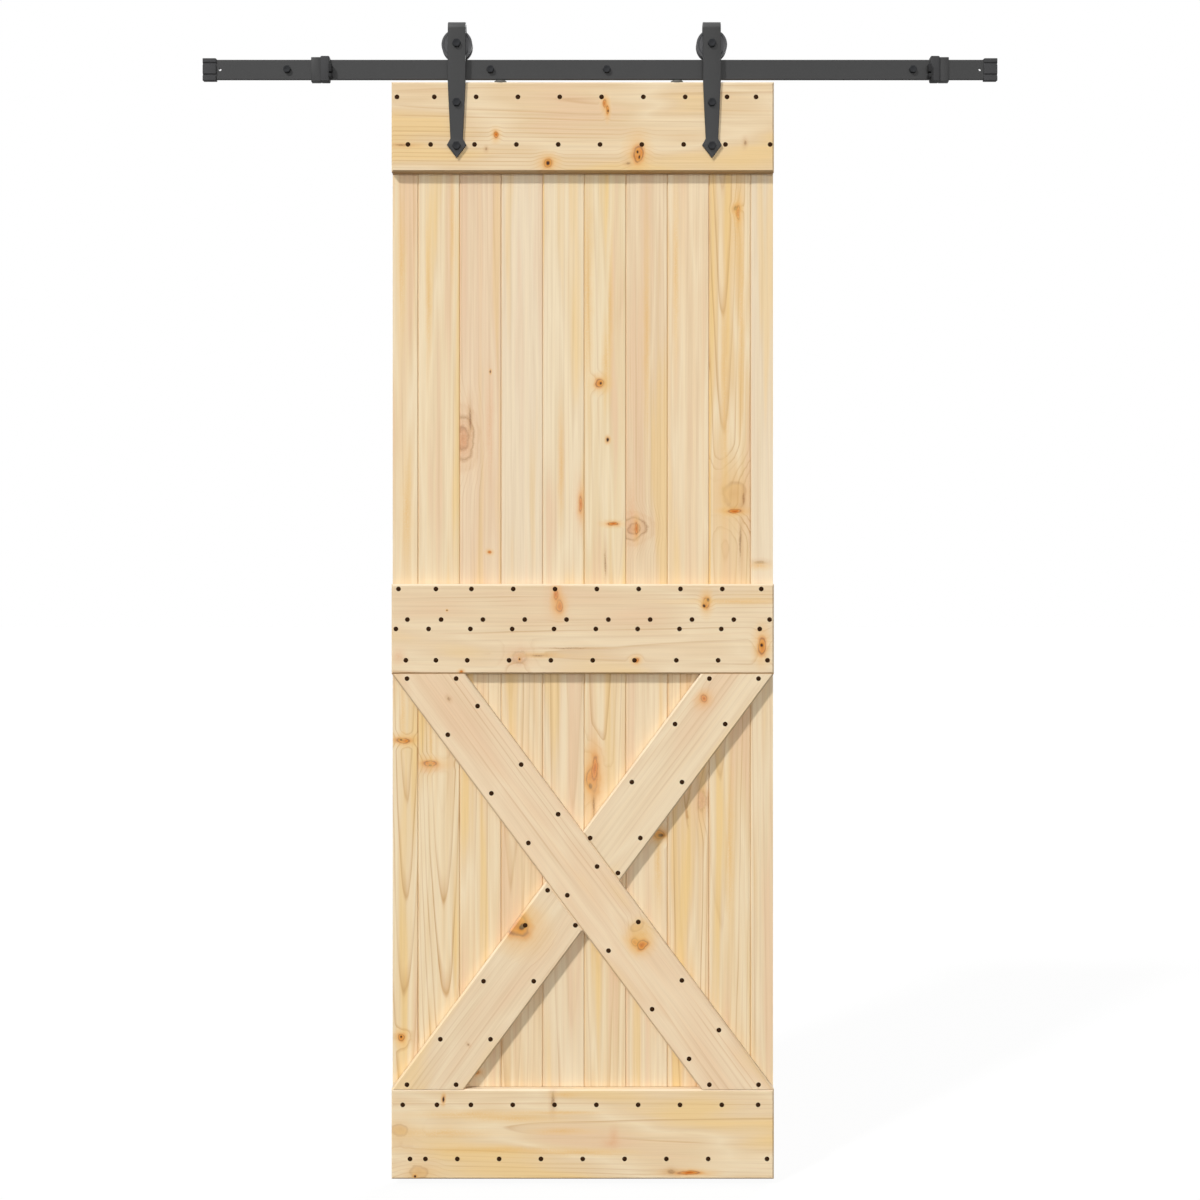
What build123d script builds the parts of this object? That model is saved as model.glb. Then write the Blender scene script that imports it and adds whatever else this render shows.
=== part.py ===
from build123d import *
import os

os.makedirs("parts", exist_ok=True)

# Sliding plank door on a flat steel rail. Millimetres.
# X runs along the rail, the front faces -Y and Z is up. The wall is the plane y = 0,
# and the origin is the middle of the rail's outer wall bolts.

# Rail and its fixings
track_length = 1524.0  # over the end caps
rail_height = 38.0
rail_thickness = 6.0
rail_edge_break = 0.8
wall_gap = 32.0  # wall to the back of the rail
wall_bolt_places = (-600.0, -210.0, 13.0, 210.0, 600.0)
wall_bolt_radius = 4.0  # of the thread in the wall
wall_bolt_neck_radius = 4.2  # plain shank inside the rail and the spacer
wall_bolt_head_across = 13.0
wall_bolt_head_height = 5.5
wall_bolt_reach = 12.0  # into a threaded insert in the wall
wall_bolt_end_break = 1.0
spacer_radius = 8.5
end_hole_place = 729.0
end_hole_radius = 2.75
hole_clearance = 0.4

# End caps, which slip over the rail's ends
cap_length = 26.0
cap_wall = 3.0
cap_groove_radius = 2.4
cap_groove_place = 11.0
cap_groove_depth = 1.3
cap_mouth_chamfer = 2.0
cap_corner = 1.0

# End stops: a steel clamp with a rubber bumper on the side of the door
stop_faces = (-518.0, 633.0)  # inner face of each bumper's body
clamp_length = 18.5
clamp_height = 47.0
clamp_front = 2.0  # ahead of the rail
clamp_behind = 4.0
clamp_edge_break = 1.0
bumper_length = 17.5
bumper_base = -23.5
bumper_top = 24.5
bumper_front = 6.0
bumper_round = 2.5
buffer_reach = 5.0  # from the body towards the hanger's strap
buffer_front = 12.0
buffer_spans = ((-7.5, 8.0), (-18.0, -10.5))  # bottom and top of the two buffers
stop_screw_radius = 2.5

# Wheels and their bearings
wheel_radius = 29.5
wheel_width = 20.0
wheel_root_radius = 26.7  # bottom of the groove that runs on the rail
wheel_groove_root = 7.0
wheel_groove_mouth = 10.0
wheel_rim_chamfer = 0.8
rolling_gap = 0.3
bearing_radius = 13.0
bearing_width = 8.0
bearing_shoulder = 11.0
race_radius = 10.2  # inside of the outer ring
shield_radius = 7.0
shield_thickness = 0.6
inner_ring_radius = 6.95
axle_radius = 4.75
axle_clearance = 0.05

# Hangers: flat bar bent over the wheel, with a tapered leg and an arrow point
hanger_places = (-274.0, 214.0)
strap_thickness = 5.0
strap_gap = 22.0  # between the two legs
strap_width = 34.0
strap_neck = 24.0
strap_shoulder = 37.2
strap_crown = 91.0  # top of the bend
strap_taper_start = -27.0
strap_neck_place = -136.0
strap_shoulder_place = -148.0
strap_tip_place = -172.0
strap_tail_round = 14.0
hanger_screw_places = (-67.0, -150.0)
hanger_screw_depth = 28.0
bolt_head_across = 14.3
bolt_head_height = 5.0
nut_height = 7.0

# Door leaf
door_left = -399.0
door_width = 732.0
door_height = 2100.0
door_top = -26.0
board_thickness = 18.0
frame_thickness = 18.0
board_width = 80.0
first_joint = -350.0
board_count = 10
board_split = -1064.0  # the upper and lower boards meet behind the middle batten
joint_vee = 1.8
tongue_length = 7.0
tongue_thickness = 6.0
tongue_play = 0.3
batten_height = 172.0
middle_batten_top = -987.0
brace_foot = 140.0  # width of a brace along a batten
arris = 3.0

# Nails: heads just proud of the frame, shanks through it into the boards
nail_head_radius = 4.0
nail_head_sides = 12
nail_head_thickness = 1.4
nail_head_proud = 0.4
nail_shank = 3.0
nail_length = 30.0
# A row of nails in a batten: its height, and how far the nail in the first, the second, each
# middle and the last board lies to the right of that board's middle
top_nail_rows = ((-55.0, -14.0, -7.0, -7.0, -13.0), (-146.0, 7.0, -14.0, -10.0, 14.0))
middle_nail_rows = (
    (-996.5, -11.0, -4.0, -16.0, -3.0),
    (-1055.0, 6.0, 6.0, 6.0, 13.0),
    (-1073.0, -16.0, -18.0, -18.0, -6.0),
    (-1133.0, 3.0, -4.0, -24.0, 9.0),
)
bottom_nail_rows = ((-1983.5, -3.0, -2.0, -17.0, -9.0), (-2087.0, 11.0, -24.0, -43.0, 8.0))
brace_nail_drops = (89.0, 201.0, 296.0, 396.0, 502.0, 614.0, 709.0)  # below the brace's top
brace_nail_spread = (28.5, 27.5)
half_brace_nail_drops = (96.0, 207.0, 314.0)
half_brace_nail_spread = 48.0
brace_end_nail_spread = 47.0
brace_end_nail_inset = 9.0
meeting_nail_drop = 381.0
meeting_nail_shift = 55.0

# Anti-jump discs, screwed to the top edge of the door under the rail
disc_places = (-191.0, 148.0)
disc_radius = 12.0
disc_thickness = 4.0
disc_line = -33.0
disc_screw_radius = 2.5
disc_screw_head = 4.5
disc_screw_depth = 24.0

# Depths worked out from the above, all from the wall
rail_back = -wall_gap
rail_front = rail_back - rail_thickness
wheel_line = rail_back - rail_thickness / 2
frame_front = wheel_line - strap_gap / 2
boards_front = frame_front + frame_thickness
boards_back = boards_front + board_thickness
strap_front = frame_front - strap_thickness
strap_back = wheel_line + strap_gap / 2 + strap_thickness
rail_top = rail_height / 2
wall_bolt_hole_radius = wall_bolt_neck_radius + hole_clearance
axle_height = rail_top + rolling_gap + wheel_root_radius
door_right = door_left + door_width
door_bottom = door_top - door_height
rail_end = track_length / 2 - cap_wall
brace_top = middle_batten_top - batten_height
brace_bottom = door_bottom + batten_height
brace_drop = brace_top - brace_bottom
brace_run = door_width - brace_foot
brace_slope = brace_run / brace_drop


def write(piece, name):
    """Labels a finished piece and writes it."""
    piece.part.label = name
    export_step(piece.part, f"parts/{name}.step")


def front(depth):
    """The plane facing the viewer at a depth: its x is the rail's, its y is height."""
    return Plane.XZ.offset(-depth)


def hex_head(place_list, base, across, height):
    """Hexagonal heads standing forward of a depth."""
    with BuildSketch(front(base)) as hexagons:
        with Locations(*place_list):
            RegularPolygon(across / 2, 6, major_radius=False)
    extrude(hexagons.sketch, amount=height)


def rod(place_list, start, end, radius, mode=Mode.ADD):
    """Round rods, or holes, between two depths."""
    with BuildSketch(front(start)) as circles:
        with Locations(*place_list):
            Circle(radius)
    extrude(circles.sketch, amount=start - end, mode=mode)


# Rail: a flat bar, drilled for its wall bolts and once near each end
wall_bolt_points = [(x, 0) for x in wall_bolt_places]
with BuildPart() as rail:
    with BuildSketch(Plane.YZ.offset(-rail_end)):
        with Locations((wheel_line, 0)):
            Rectangle(rail_thickness, rail_height)
    extrude(amount=2 * rail_end)
    chamfer(rail.edges().filter_by(Axis.X), rail_edge_break)
    rod(wall_bolt_points, rail_back, rail_front, wall_bolt_hole_radius, Mode.SUBTRACT)
    end_hole_points = [(-end_hole_place, 0), (end_hole_place, 0)]
    rod(end_hole_points, rail_back, rail_front, end_hole_radius, Mode.SUBTRACT)
write(rail, "rail")

with BuildPart() as wall_spacers:
    rod(wall_bolt_points, 0, rail_back, spacer_radius)
    rod(wall_bolt_points, 0, rail_back, wall_bolt_hole_radius, Mode.SUBTRACT)
write(wall_spacers, "wall_spacers")

# Wall bolts: hexagon heads, with shanks that pass through rail and spacer into the wall
with BuildPart() as wall_bolts:
    hex_head(wall_bolt_points, rail_front, wall_bolt_head_across, wall_bolt_head_height)
    rod(wall_bolt_points, rail_front, 0, wall_bolt_neck_radius)
    rod(wall_bolt_points, 0, wall_bolt_reach, wall_bolt_radius)
    tips = wall_bolts.edges().filter_by(GeomType.CIRCLE).group_by(Axis.Y)[-1]
    chamfer(tips, wall_bolt_end_break)
write(wall_bolts, "wall_bolts")


def end_cap(side):
    """A moulded cap over one end of the rail, ribbed along its length."""
    cap_front = wheel_line - rail_thickness / 2 - cap_wall
    cap_back = wheel_line + rail_thickness / 2 + cap_wall
    half = rail_height / 2 + cap_wall
    outer = side * track_length / 2
    mouth = outer - side * cap_length
    groove_offset = cap_groove_radius - cap_groove_depth
    with BuildPart() as cap:
        with BuildSketch(Plane.YZ.offset(outer)):
            with Locations((wheel_line, 0)):
                Rectangle(cap_back - cap_front, 2 * half)
            with Locations(
                (cap_front - groove_offset, cap_groove_place),
                (cap_front - groove_offset, -cap_groove_place),
                (cap_back + groove_offset, cap_groove_place),
                (cap_back + groove_offset, -cap_groove_place),
            ):
                Circle(cap_groove_radius, mode=Mode.SUBTRACT)
        extrude(amount=-side * cap_length)
        corners = cap.edges().filter_by(Axis.Y).group_by(Axis.X)
        mouth_corners = corners[0] if side > 0 else corners[-1]
        chamfer(mouth_corners, cap_mouth_chamfer)
        long_edges = cap.edges().filter_by(Axis.X).group_by(Axis.Z)
        chamfer(long_edges[0] + long_edges[-1], cap_corner)
        with BuildSketch(Plane.YZ.offset(mouth)):
            with Locations((wheel_line, 0)):
                Rectangle(rail_thickness, rail_height)
        extrude(amount=side * (cap_length - cap_wall), mode=Mode.SUBTRACT)
    return cap


write(end_cap(-1), "end_cap_left")
write(end_cap(1), "end_cap_right")


def rail_slot(start, length):
    """Cuts the opening that the rail passes through."""
    with BuildSketch(Plane.YZ.offset(start)) as opening:
        with Locations((wheel_line, 0)):
            Rectangle(rail_thickness, rail_height)
    extrude(opening.sketch, amount=length, mode=Mode.SUBTRACT)


def stop_clamp(side, face):
    """The steel half of an end stop, held by two set screws from behind."""
    start = face + side * bumper_length
    depth = clamp_front + rail_thickness + clamp_behind
    middle = start + side * clamp_length / 2
    with BuildPart() as clamp:
        with BuildSketch(Plane.YZ.offset(start)):
            with Locations((rail_front - clamp_front + depth / 2, 0)):
                Rectangle(depth, clamp_height)
        extrude(amount=side * clamp_length)
        chamfer(clamp.edges().filter_by(Axis.X), clamp_edge_break)
        rail_slot(start, side * clamp_length)
        rod(
            stop_screw_points(middle),
            rail_back + clamp_behind,
            rail_back,
            stop_screw_radius,
            Mode.SUBTRACT,
        )
    return clamp


def stop_screw_points(middle):
    """Where the two set screws of a clamp bear on the rail."""
    return [(middle, -rail_height / 4), (middle, rail_height / 4)]


def stop_bumper(side, face):
    """The rubber half of an end stop, with two buffers that meet the hanger's strap."""
    height = bumper_top - bumper_base
    depth = bumper_front + rail_thickness + clamp_behind
    with BuildPart() as bumper:
        with BuildSketch(front(rail_front - bumper_front)):
            with Locations((face + side * bumper_length / 2, bumper_base + height / 2)):
                Rectangle(bumper_length, height)
        extrude(amount=-depth)
        rims = bumper.edges().filter_by(Axis.Y).group_by(Axis.X)
        fillet(rims[0] if side > 0 else rims[-1], bumper_round)
        with BuildSketch(front(rail_front - buffer_front)):
            for low, high in buffer_spans:
                with Locations((face - side * buffer_reach / 2, (low + high) / 2)):
                    Rectangle(buffer_reach, high - low)
        extrude(amount=-buffer_front)
        rail_slot(face, side * bumper_length)
    return bumper


stop_screw_places = []
for side, face, word in ((-1, stop_faces[0], "left"), (1, stop_faces[1], "right")):
    write(stop_clamp(side, face), f"end_stop_{word}")
    write(stop_bumper(side, face), f"stop_bumper_{word}")
    stop_screw_places += stop_screw_points(face + side * (bumper_length + clamp_length / 2))

with BuildPart() as stop_screws:
    rod(stop_screw_places, rail_back + clamp_behind, rail_back, stop_screw_radius)
write(stop_screws, "stop_screws")


def hanger_strap(x):
    """Flat bar bent over the wheel: long tapered front leg, short rear leg."""
    outer = strap_gap / 2 + strap_thickness
    inner = strap_gap / 2
    bend = strap_crown - outer
    tail = axle_height - strap_tail_round - axle_radius / 2
    with BuildPart() as strap:
        with BuildSketch(Plane.YZ.offset(x)):
            with BuildLine():
                Polyline(
                    (wheel_line - inner, bend),
                    (wheel_line - inner, strap_tip_place),
                    (wheel_line - outer, strap_tip_place),
                    (wheel_line - outer, bend),
                )
                ThreePointArc(
                    (wheel_line - outer, bend), (wheel_line, bend + outer), (wheel_line + outer, bend)
                )
                Polyline(
                    (wheel_line + outer, bend),
                    (wheel_line + outer, tail),
                    (wheel_line + inner, tail),
                    (wheel_line + inner, bend),
                )
                ThreePointArc(
                    (wheel_line + inner, bend), (wheel_line, bend + inner), (wheel_line - inner, bend)
                )
            make_face()
        extrude(amount=strap_shoulder, both=True)
        with BuildSketch(front(strap_back)):
            with BuildLine(Location((x, 0))):
                Polyline(
                    (0, strap_tip_place),
                    (strap_shoulder / 2, strap_shoulder_place),
                    (strap_neck / 2, strap_neck_place),
                    (strap_width / 2, strap_taper_start),
                    (strap_width / 2, strap_crown),
                    (-strap_width / 2, strap_crown),
                    (-strap_width / 2, strap_taper_start),
                    (-strap_neck / 2, strap_neck_place),
                    (-strap_shoulder / 2, strap_shoulder_place),
                    close=True,
                )
            make_face()
        extrude(amount=strap_back - strap_front, mode=Mode.INTERSECT)
        tail_corners = strap.edges().filter_by(Axis.Y).filter_by_position(Axis.Z, tail, tail)
        fillet(tail_corners, strap_tail_round)
        axle_bore = axle_radius + axle_clearance
        rod([(x, axle_height)], strap_back, strap_front, axle_bore, Mode.SUBTRACT)
        screw_points = [(x, z) for z in hanger_screw_places]
        rod(screw_points, frame_front, strap_front, axle_radius + hole_clearance, Mode.SUBTRACT)
    return strap


for x, word in zip(hanger_places, ("left", "right")):
    write(hanger_strap(x), f"hanger_strap_{word}")

axle_points = [(x, axle_height) for x in hanger_places]
with BuildPart() as axle_bolts:
    hex_head(axle_points, strap_front, bolt_head_across, bolt_head_height)
    rod(axle_points, strap_front, strap_back + nut_height + 2, axle_radius)
write(axle_bolts, "axle_bolts")

with BuildPart() as axle_nuts:
    hex_head(axle_points, strap_back + nut_height, bolt_head_across, nut_height)
    rod(axle_points, strap_back, strap_back + nut_height, axle_radius, Mode.SUBTRACT)
write(axle_nuts, "axle_nuts")

hanger_screw_points = [(x, z) for x in hanger_places for z in hanger_screw_places]
hanger_screw_end = frame_front + hanger_screw_depth
with BuildPart() as hanger_screws:
    hex_head(hanger_screw_points, strap_front, bolt_head_across, bolt_head_height)
    rod(hanger_screw_points, strap_front, hanger_screw_end, axle_radius)
write(hanger_screws, "hanger_screws")


def wheel_plane(x):
    """Half section of a wheel: x is depth from the rail's middle, y is radius."""
    return Plane(origin=(x, wheel_line, axle_height), x_dir=(0, 1, 0), z_dir=(1, 0, 0))


def wheel(x):
    """Wheel with two flanges and a bore that is shouldered at the front."""
    half = wheel_width / 2
    rim = half - wheel_rim_chamfer
    seat = bearing_width / 2
    with BuildPart() as turned:
        with BuildSketch(wheel_plane(x)):
            with BuildLine():
                Polyline(
                    (-half, bearing_shoulder),
                    (-half, wheel_radius - wheel_rim_chamfer),
                    (-rim, wheel_radius),
                    (-wheel_groove_mouth / 2, wheel_radius),
                    (-wheel_groove_root / 2, wheel_root_radius),
                    (wheel_groove_root / 2, wheel_root_radius),
                    (wheel_groove_mouth / 2, wheel_radius),
                    (rim, wheel_radius),
                    (half, wheel_radius - wheel_rim_chamfer),
                    (half, bearing_radius),
                    (-seat, bearing_radius),
                    (-seat, bearing_shoulder),
                    close=True,
                )
            make_face()
        revolve(axis=Axis((x, wheel_line, axle_height), (0, 1, 0)))
    return turned


def bearing_outer(x):
    """Outer ring of a sealed bearing, with a shield on each side."""
    seat = bearing_width / 2
    inside = seat - shield_thickness
    with BuildPart() as ring:
        with BuildSketch(wheel_plane(x)):
            with BuildLine():
                Polyline(
                    (-seat, shield_radius),
                    (-seat, bearing_radius),
                    (seat, bearing_radius),
                    (seat, shield_radius),
                    (inside, shield_radius),
                    (inside, race_radius),
                    (-inside, race_radius),
                    (-inside, shield_radius),
                    close=True,
                )
            make_face()
        revolve(axis=Axis((x, wheel_line, axle_height), (0, 1, 0)))
    return ring


def bearing_inner(x):
    """Wide inner ring, clamped between the strap's legs by the axle bolt."""
    half = strap_gap / 2
    with BuildPart() as sleeve:
        rod([(x, axle_height)], wheel_line + half, wheel_line - half, inner_ring_radius)
        bore = axle_radius + axle_clearance
        rod([(x, axle_height)], wheel_line + half, wheel_line - half, bore, Mode.SUBTRACT)
    return sleeve


for x, word in zip(hanger_places, ("left", "right")):
    write(wheel(x), f"wheel_{word}")
    write(bearing_outer(x), f"bearing_outer_{word}")
    write(bearing_inner(x), f"bearing_inner_{word}")


# Boards: tongued and grooved, with a vee at each joint on both faces
board_joints = [first_joint + board_width * i for i in range(board_count - 1)]
board_sides = list(zip([door_left] + board_joints, board_joints + [door_right]))
tongue_middle = (boards_front + boards_back) / 2


def board_outline(left, right, plain_left, plain_right):
    """Section of a board seen from above."""
    near, far = boards_front, boards_back
    half = tongue_thickness / 2
    points = [(left + joint_vee, near), (right - joint_vee, near)]
    if plain_left:
        points[0] = (left, near)
    if plain_right:
        points[1] = (right, near)
        points += [(right, far)]
    else:
        points += [
            (right, near + joint_vee),
            (right, tongue_middle - half),
            (right + tongue_length, tongue_middle - half),
            (right + tongue_length, tongue_middle + half),
            (right, tongue_middle + half),
            (right, far - joint_vee),
            (right - joint_vee, far),
        ]
    if plain_left:
        points += [(left, far)]
    else:
        groove = half + tongue_play
        depth = tongue_length + tongue_play
        points += [
            (left + joint_vee, far),
            (left, far - joint_vee),
            (left, tongue_middle + groove),
            (left + depth, tongue_middle + groove),
            (left + depth, tongue_middle - groove),
            (left, tongue_middle - groove),
            (left, near + joint_vee),
        ]
    return points


def board(index, base, length):
    """One length of board, bored where a hanger screw reaches it."""
    left, right = board_sides[index]
    reach = axle_radius + tongue_length
    bored = [
        (x, z)
        for x, z in hanger_screw_points
        if left - reach < x < right + reach and base < z < base + length
    ]
    with BuildPart() as plank:
        with BuildSketch(Plane.XY.offset(base)):
            with BuildLine():
                Polyline(
                    *board_outline(left, right, index == 0, index == board_count - 1), close=True
                )
            make_face()
        extrude(amount=length)
        if bored:
            rod(bored, hanger_screw_end, boards_front, axle_radius, Mode.SUBTRACT)
    return plank


for index in range(board_count):
    write(board(index, board_split, door_top - board_split), f"upper_board_{index + 1:02d}")
    write(board(index, door_bottom, board_split - door_bottom), f"lower_board_{index + 1:02d}")


def front_edges(piece):
    """The edges of a piece that lie in its front face."""
    return piece.faces().sort_by(Axis.Y)[0].edges()


def batten(top):
    """A plain rail of the door's frame, its front arrises chamfered."""
    with BuildPart() as plank:
        with BuildSketch(front(boards_front)):
            with Locations((door_left + door_width / 2, top - batten_height / 2)):
                Rectangle(door_width, batten_height)
        extrude(amount=frame_thickness)
        chamfer(front_edges(plank), arris)
    return plank


with BuildPart() as top_batten:
    add(batten(door_top).part)
    rod(hanger_screw_points, boards_front, frame_front, axle_radius, Mode.SUBTRACT)
    disc_holes = [(x, disc_line) for x in disc_places]
    with BuildSketch(Plane.XY.offset(door_top)):
        with Locations(*disc_holes):
            Circle(disc_screw_radius)
    extrude(amount=-disc_screw_depth, mode=Mode.SUBTRACT)
write(top_batten, "top_batten")
write(batten(middle_batten_top), "middle_batten")
write(batten(door_bottom + batten_height), "bottom_batten")


def brace_edge(start, drop, way):
    """A point on a brace's sloping edge: way is 1 to the right and -1 to the left."""
    return (start + way * drop * brace_slope, brace_top - drop)


def brace(points):
    """A diagonal of the frame, its sloping front arrises chamfered."""
    with BuildPart() as plank:
        with BuildSketch(front(boards_front)):
            with BuildLine():
                Polyline(*points, close=True)
            make_face()
        extrude(amount=frame_thickness)
        sloping = front_edges(plank).filter_by(Axis.X, reverse=True)
        chamfer(sloping, arris)
    return plank


long_brace_points = [
    brace_edge(door_left, 0, 1),
    brace_edge(door_left + brace_foot, 0, 1),
    brace_edge(door_left + brace_foot, brace_drop, 1),
    brace_edge(door_left, brace_drop, 1),
]
write(brace(long_brace_points), "long_brace")

# A half brace meets the long one where their edges cross
near_meeting = (door_right - brace_foot - (door_left + brace_foot)) / 2 / brace_slope
far_meeting = (door_right - (door_left + brace_foot)) / 2 / brace_slope
upper_half_points = [
    brace_edge(door_right - brace_foot, 0, -1),
    brace_edge(door_right, 0, -1),
    brace_edge(door_right, far_meeting, -1),
    brace_edge(door_right - brace_foot, near_meeting, -1),
]
write(brace(upper_half_points), "upper_half_brace")
lower_half_points = [
    brace_edge(door_right - brace_foot, brace_drop, -1),
    brace_edge(door_right, brace_drop, -1),
    brace_edge(door_right, brace_drop - near_meeting, -1),
    brace_edge(door_right - brace_foot, brace_drop - far_meeting, -1),
]
write(brace(lower_half_points), "lower_half_brace")


def row_points(rows):
    """One nail for each board in each row."""
    points = []
    for height, first, second, middle, last in rows:
        offsets = [first, second] + [middle] * (board_count - 3) + [last]
        for (left, right), offset in zip(board_sides, offsets):
            points.append(((left + right) / 2 + offset, height))
    return points


def nails(points):
    """Flat-headed nails through the frame into the boards."""
    head = frame_front - nail_head_proud
    with BuildPart() as group:
        with BuildSketch(front(head)):
            with Locations(*points):
                RegularPolygon(nail_head_radius, nail_head_sides)
        extrude(amount=-nail_head_thickness)
        with BuildSketch(front(head + nail_head_thickness)):
            with Locations(*points):
                Rectangle(nail_shank, nail_shank)
        extrude(amount=-(nail_length - nail_head_thickness))
    return group


def brace_middle(drop, way):
    """The middle of a brace at a drop below its top."""
    start = door_left + brace_foot / 2 if way > 0 else door_right - brace_foot / 2
    return brace_edge(start, drop, way)


def end_pair(drop, way):
    """Two nails side by side at the end of a brace."""
    x, z = brace_middle(drop, way)
    return [(x - brace_end_nail_spread, z), (x + brace_end_nail_spread, z)]


write(nails(row_points(top_nail_rows)), "top_nails")
write(nails(row_points(middle_nail_rows)), "middle_nails")
write(nails(row_points(bottom_nail_rows)), "bottom_nails")

brace_points = []
for way in (1, -1):
    for drop in (brace_end_nail_inset, brace_drop - brace_end_nail_inset):
        brace_points += end_pair(drop, way)
for drop in brace_nail_drops:
    x, z = brace_middle(drop, 1)
    across, along = brace_nail_spread
    brace_points += [(x + across, z + along), (x - across, z - along)]
for drop in half_brace_nail_drops:
    for level in (drop, brace_drop - drop):
        x, z = brace_middle(level, -1)
        brace_points += [(x - half_brace_nail_spread, z), (x + half_brace_nail_spread, z)]
for level, shift in ((meeting_nail_drop, 1), (brace_drop - meeting_nail_drop, -1)):
    x, z = brace_middle(level, -1)
    brace_points.append((x + shift * meeting_nail_shift, z))
write(nails(brace_points), "brace_nails")

# Anti-jump discs and their countersunk screws
disc_points = [(x, disc_line) for x in disc_places]
with BuildPart() as anti_jump_discs:
    with BuildSketch(Plane.XY.offset(door_top)):
        with Locations(*disc_points):
            Circle(disc_radius)
    extrude(amount=disc_thickness)
    with Locations(Plane.XY.offset(door_top + disc_thickness)):
        with Locations(*disc_points):
            CounterSinkHole(disc_screw_radius, disc_screw_head, depth=disc_thickness)
write(anti_jump_discs, "anti_jump_discs")

with BuildPart() as disc_screws:
    with BuildSketch(Plane.XY.offset(door_top + disc_thickness)):
        with Locations(*disc_points):
            Circle(disc_screw_head)
    extrude(amount=-(disc_screw_head - disc_screw_radius), taper=45)
    with BuildSketch(Plane.XY.offset(door_top + disc_thickness)):
        with Locations(*disc_points):
            Circle(disc_screw_radius)
    extrude(amount=-(disc_thickness + disc_screw_depth))
write(disc_screws, "disc_screws")
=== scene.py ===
import math

import bmesh
import bpy
import numpy as np
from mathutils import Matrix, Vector


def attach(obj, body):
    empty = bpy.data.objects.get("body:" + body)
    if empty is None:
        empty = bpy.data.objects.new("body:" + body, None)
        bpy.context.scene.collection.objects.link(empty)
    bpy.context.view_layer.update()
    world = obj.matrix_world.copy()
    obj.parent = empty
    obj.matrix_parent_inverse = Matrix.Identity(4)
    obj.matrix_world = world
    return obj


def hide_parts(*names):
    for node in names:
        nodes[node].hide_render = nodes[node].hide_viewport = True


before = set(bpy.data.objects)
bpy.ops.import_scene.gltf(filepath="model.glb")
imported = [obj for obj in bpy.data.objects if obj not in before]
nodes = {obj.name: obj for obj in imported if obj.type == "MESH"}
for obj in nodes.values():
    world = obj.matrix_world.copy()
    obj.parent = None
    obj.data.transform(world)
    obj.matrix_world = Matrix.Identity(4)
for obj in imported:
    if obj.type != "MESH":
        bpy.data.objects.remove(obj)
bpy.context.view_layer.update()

# Sliding plank door: metres, x along the rail, the front faces -y, z up.
mm = 0.001
print("frame loaded:", len(nodes), "nodes")


# Node helpers

def paint(red, green, blue):
    # an sRGB colour of 0 to 255 as linear light
    values = np.array((red, green, blue)) / 255
    linear = np.where(values <= 0.04045, values / 12.92, ((values + 0.055) / 1.055) ** 2.4)
    return (*linear.tolist(), 1.0)


def grey(value):
    return (value, value, value, 1.0)


def put(tree, kind, inputs=None, **settings):
    node = tree.nodes.new("ShaderNode" + kind)
    for key, value in settings.items():
        setattr(node, key, value)
    for key, value in (inputs or {}).items():
        if isinstance(value, bpy.types.NodeSocket):
            tree.links.new(value, node.inputs[key])
        else:
            node.inputs[key].default_value = value
    return node


def calc(tree, operation, first, second=0.0, third=0.0):
    return put(tree, "Math", {0: first, 1: second, 2: third}, operation=operation).outputs[0]


def vec(tree, operation, first, second=None):
    inputs = {0: first}
    if second is not None:
        inputs["Scale" if operation == "SCALE" else 1] = second
    node = put(tree, "VectorMath", inputs, operation=operation)
    return node.outputs["Value" if operation in ("LENGTH", "DOT_PRODUCT") else 0]


def part(tree, vector, axis):
    return put(tree, "SeparateXYZ", {0: vector}).outputs[axis]


def blendColour(tree, factor, first, second, way="MIX"):
    inputs = {0: factor, 6: first, 7: second}
    return put(tree, "Mix", inputs, data_type="RGBA", blend_type=way).outputs[2]


def ramp(tree, factor, stops):
    node = put(tree, "ValToRGB", {0: factor})
    elements = node.color_ramp.elements
    elements[0].position, elements[0].color = stops[0]
    elements[1].position, elements[1].color = stops[-1]
    for position, colour in stops[1:-1]:
        elements.new(position).color = colour
    return node


def fade(tree, value, start, end, way="SMOOTHSTEP", to=(0.0, 1.0)):
    inputs = {"Value": value, "From Min": start, "From Max": end, "To Min": to[0], "To Max": to[1]}
    return put(tree, "MapRange", inputs, interpolation_type=way).outputs[0]


def noise(tree, vector, scale, detail=2.0, rough=0.5, output=0):
    inputs = {"Vector": vector, "Scale": scale, "Detail": detail, "Roughness": rough}
    return put(tree, "TexNoise", inputs).outputs[output]


def stray(tree, vector, scale, detail, reach):
    # a displacement: a noise colour less a half, times the reach
    centred = vec(tree, "SUBTRACT", noise(tree, vector, scale, detail, output="Color"), (0.5, 0.5, 0.5))
    return vec(tree, "SCALE", centred, reach)


def placed(tree, vector, middle, turn):
    # coordinates from a middle, along turned axes
    inputs = {"Vector": vector, "Location": middle, "Rotation": turn}
    return put(tree, "Mapping", inputs, vector_type="TEXTURE").outputs[0]


def drawnOut(tree, vector, shift, share):
    # a pattern drawn out along the grain, by one over the share
    return put(tree, "Mapping", {"Vector": vector, "Location": shift, "Scale": (1, 1, share)}).outputs[0]


def newMaterial(name):
    material = bpy.data.materials.new(name)
    material.use_nodes = True
    tree = material.node_tree
    tree.nodes.clear()
    shader = put(tree, "BsdfPrincipled")
    output = put(tree, "OutputMaterial")
    tree.links.new(shader.outputs[0], output.inputs[0])
    return material, tree, shader


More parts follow.
